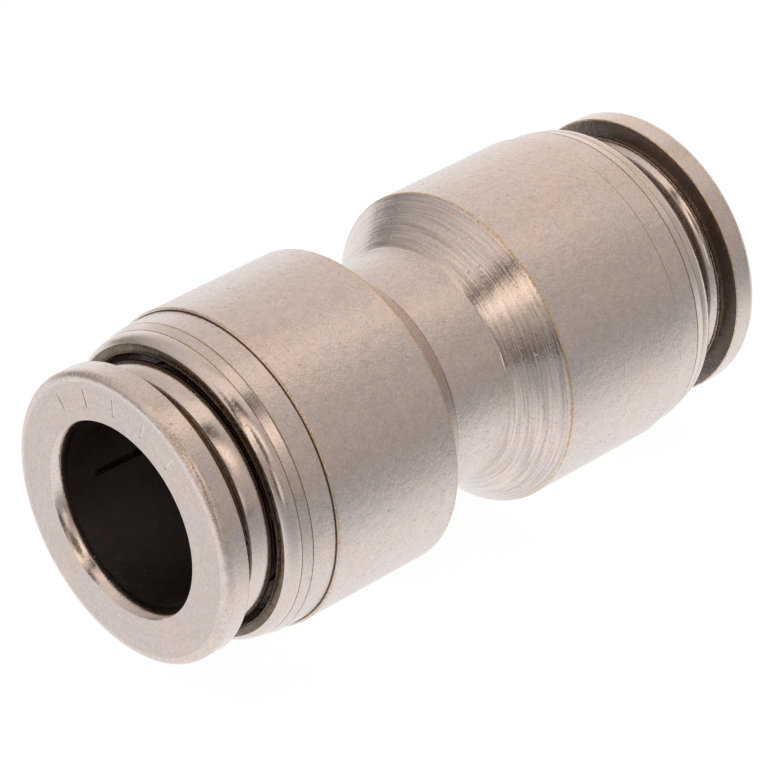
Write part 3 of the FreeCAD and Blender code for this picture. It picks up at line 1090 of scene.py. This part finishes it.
# light round the part at each height angle, in degrees: 0 is level behind, 90 is straight up and
# 180 is level in front; then how bright it is, and how warm
TENT_RIGHT = (
    (0, 1.05, 0.0), (14, 0.88, 0.2), (30, 0.76, 0.7), (46, 0.72, 1.0), (66, 0.71, 1.1),
    (71, 0.63, 1.1), (80, 0.66, 1.1), (95, 0.70, 1.2), (105, 0.69, 1.2),
    (112, 0.66, 1.2), (118, 0.60, 1.1), (126, 0.54, 1.0), (134, 0.50, 1.0), (152, 0.49, 0.9),
    (166, 0.45, 0.9), (174, 0.42, 0.9), (180, 0.40, 0.9))
TENT_LEFT = (
    (0, 0.34, 0.6), (7, 0.34, 0.6), (12, 0.44, 0.6), (17, 0.50, 0.6), (30, 0.58, 0.7),
    (43, 0.64, 0.8), (54, 0.70, 1.0), (60, 0.78, 1.1), (77, 0.80, 1.1), (82, 0.66, 1.1),
    (88, 0.30, 1.2), (93, 0.14, 1.2), (98, 0.14, 1.2), (104, 0.40, 1.6), (110, 0.80, 1.9),
    (117, 1.15, 1.9), (127, 1.15, 1.7), (133, 0.80, 1.5), (143, 0.56, 1.3), (152, 0.48, 1.2),
    (160, 0.36, 1.1), (165, 0.45, 1.1), (171, 0.40, 1.0), (180, 0.22, 1.0))


# soft round patches of the tent: where each is, the angles in degrees from there at which it starts
# to fade and is gone, how much of the wall it covers, and its colour
LAMP = (0.95, 0.88, 0.80, 1.0)
SHADE = (0.10, 0.085, 0.07, 1.0)
TENT_PATCHES = (
    ((-0.39, -0.90, 0.19), 4.0, 14.0, 0.90, LAMP),
    ((-0.47, -0.64, 0.60), 7.0, 17.0, 0.85, SHADE),
    ((-0.66, -0.73, 0.16), 3.0, 13.0, 0.85, SHADE))


def add_strip_light(stage):
    """A long soft light over the part that only its metal mirrors."""
    left, right, front, back, height = -90.0 * MM, 78.0 * MM, -24.0 * MM, 11.0 * MM, 80.0 * MM
    paint = glowing("strip_light", (1.0, 0.89, 0.80, 1.0), stage.strip_light)
    along = paint.x.within(left, -60.0 * MM, 44.0 * MM, right)
    across = paint.y.within(front, -14.0 * MM, 5.0 * MM, 8.0 * MM)
    hang(paint, along * across, [(left, front, height), (left, back, height),
                                 (right, back, height), (right, front, height)])


def add_end_card(stage):
    """A soft round card past the right end, which brightens what that end mirrors."""
    place, near, far, bottom, top = 80.0 * MM, 10.0 * MM, 130.0 * MM, -6.0 * MM, 130.0 * MM
    paint = glowing("end_card", (1.0, 0.90, 0.82, 1.0), stage.end_card)
    cover = paint.r.between(126.0 * MM, 100.0 * MM) * paint.y.between(14.0 * MM, 34.0 * MM)
    cover = cover * paint.z.between(-4.0 * MM, 8.0 * MM) * 0.5
    hang(paint, cover, [(place, near, bottom), (place, near, top),
                        (place, far, top), (place, far, bottom)])


def tent_stops(walls):
    """Ramp stops of one side of the tent."""
    more_red, less_blue = 0.08, 0.075
    return [(angle / 180.0,
             (light * (1 + more_red * warmth), light, light * (1 - less_blue * warmth), 1.0))
            for angle, light, warmth in walls]


def add_tent(stage):
    """Soft light from all round: a tent that changes from back over the top to front, and sideways."""
    world = bpy.data.worlds.new("tent")
    bpy.context.scene.world = world
    world.use_nodes = True
    tree = world.node_tree
    way = add_node(tree, "ShaderNodeTexCoord").outputs["Generated"]
    axes = add_node(tree, "ShaderNodeSeparateXYZ", inputs={0: way})
    x, y, z = (Wire(tree, output) for output in axes.outputs)
    height = z.to("ARCTAN2", y) / math.pi
    leaning = height - (x + 0.78) * z * 0.12        # the left walls lean, so their bands slant
    walls = [add_node(tree, "ShaderNodeValToRGB", {"stops": tent_stops(side)}, {0: place}).outputs[0]
             for side, place in ((TENT_LEFT, leaning), (TENT_RIGHT, height))]
    light = add_node(tree, "ShaderNodeMix", {"data_type": "RGBA"}, {
        0: x.between(-0.15, 0.35), 6: walls[0], 7: walls[1]}).outputs[2]

    for direction, inner, outer, cover, tone in TENT_PATCHES:
        aim = Vector(direction).normalized()
        near = x * aim.x + y * aim.y + z * aim.z
        near = near.between(math.cos(math.radians(outer)), math.cos(math.radians(inner)))
        light = add_node(tree, "ShaderNodeMix", {"data_type": "RGBA"}, {
            0: near * cover, 6: light, 7: tone}).outputs[2]
    background = tree.nodes["Background"]
    tree.links.new(light, background.inputs["Color"])
    background.inputs["Strength"].default_value = stage.surroundings


def add_camera(stage):
    """The camera, turned by its azimuth and elevation."""
    camera = bpy.data.objects.new("camera", bpy.data.cameras.new("camera"))
    bpy.context.scene.collection.objects.link(camera)
    camera.data.lens = stage.lens
    camera.data.sensor_width = 36.0
    camera.data.clip_start = 0.01
    camera.location = stage.camera_place
    camera.rotation_euler = (math.pi / 2 - stage.elevation, 0.0, stage.azimuth)
    bpy.context.scene.camera = camera


# ---------------------------------------------------------------- add-on

class FITTING_PT_panel(bpy.types.Panel):
    """The fitting's steps, in the order in which they are made"""

    bl_idname = "FITTING_PT_panel"
    bl_label = "Push to Connect Fitting"
    bl_space_type = "VIEW_3D"
    bl_region_type = "UI"
    bl_category = "Fitting"

    def draw(self, context):
        for operator in OPERATORS:
            self.layout.operator(operator.bl_idname)
        for name in GROUPS:
            box = self.layout.box()
            settings = getattr(context.scene, name)
            for prop in GROUPS[name].__annotations__:
                box.prop(settings, prop)


GROUPS = {
    "fitting_body": FittingBodySizes,
    "fitting_guide": FittingGuideSizes,
    "fitting_push_ring": FittingPushRingSizes,
    "fitting_grip": FittingGripSizes,
    "fitting_finish": FittingFinish,
    "fitting_stage": FittingStage,
}
OPERATORS = (FITTING_OT_body, FITTING_OT_guide_rings, FITTING_OT_push_rings, FITTING_OT_claws,
             FITTING_OT_backup_rings, FITTING_OT_seals, FITTING_OT_stage)


def register():
    """Add the classes, and hang the settings on the scene."""
    for cls in (*GROUPS.values(), *OPERATORS, FITTING_PT_panel):
        bpy.utils.register_class(cls)
    for name, group in GROUPS.items():
        setattr(bpy.types.Scene, name, bpy.props.PointerProperty(type=group))


def unregister():
    """Take the settings and the classes away again."""
    for name in GROUPS:
        delattr(bpy.types.Scene, name)
    for cls in reversed((*GROUPS.values(), *OPERATORS, FITTING_PT_panel)):
        bpy.utils.unregister_class(cls)


def main():
    """Make every piece, then the stage."""
    register()
    for operator in OPERATORS:
        group, name = operator.bl_idname.split(".")
        getattr(getattr(bpy.ops, group), name)()


if __name__ == "__main__":
    main()
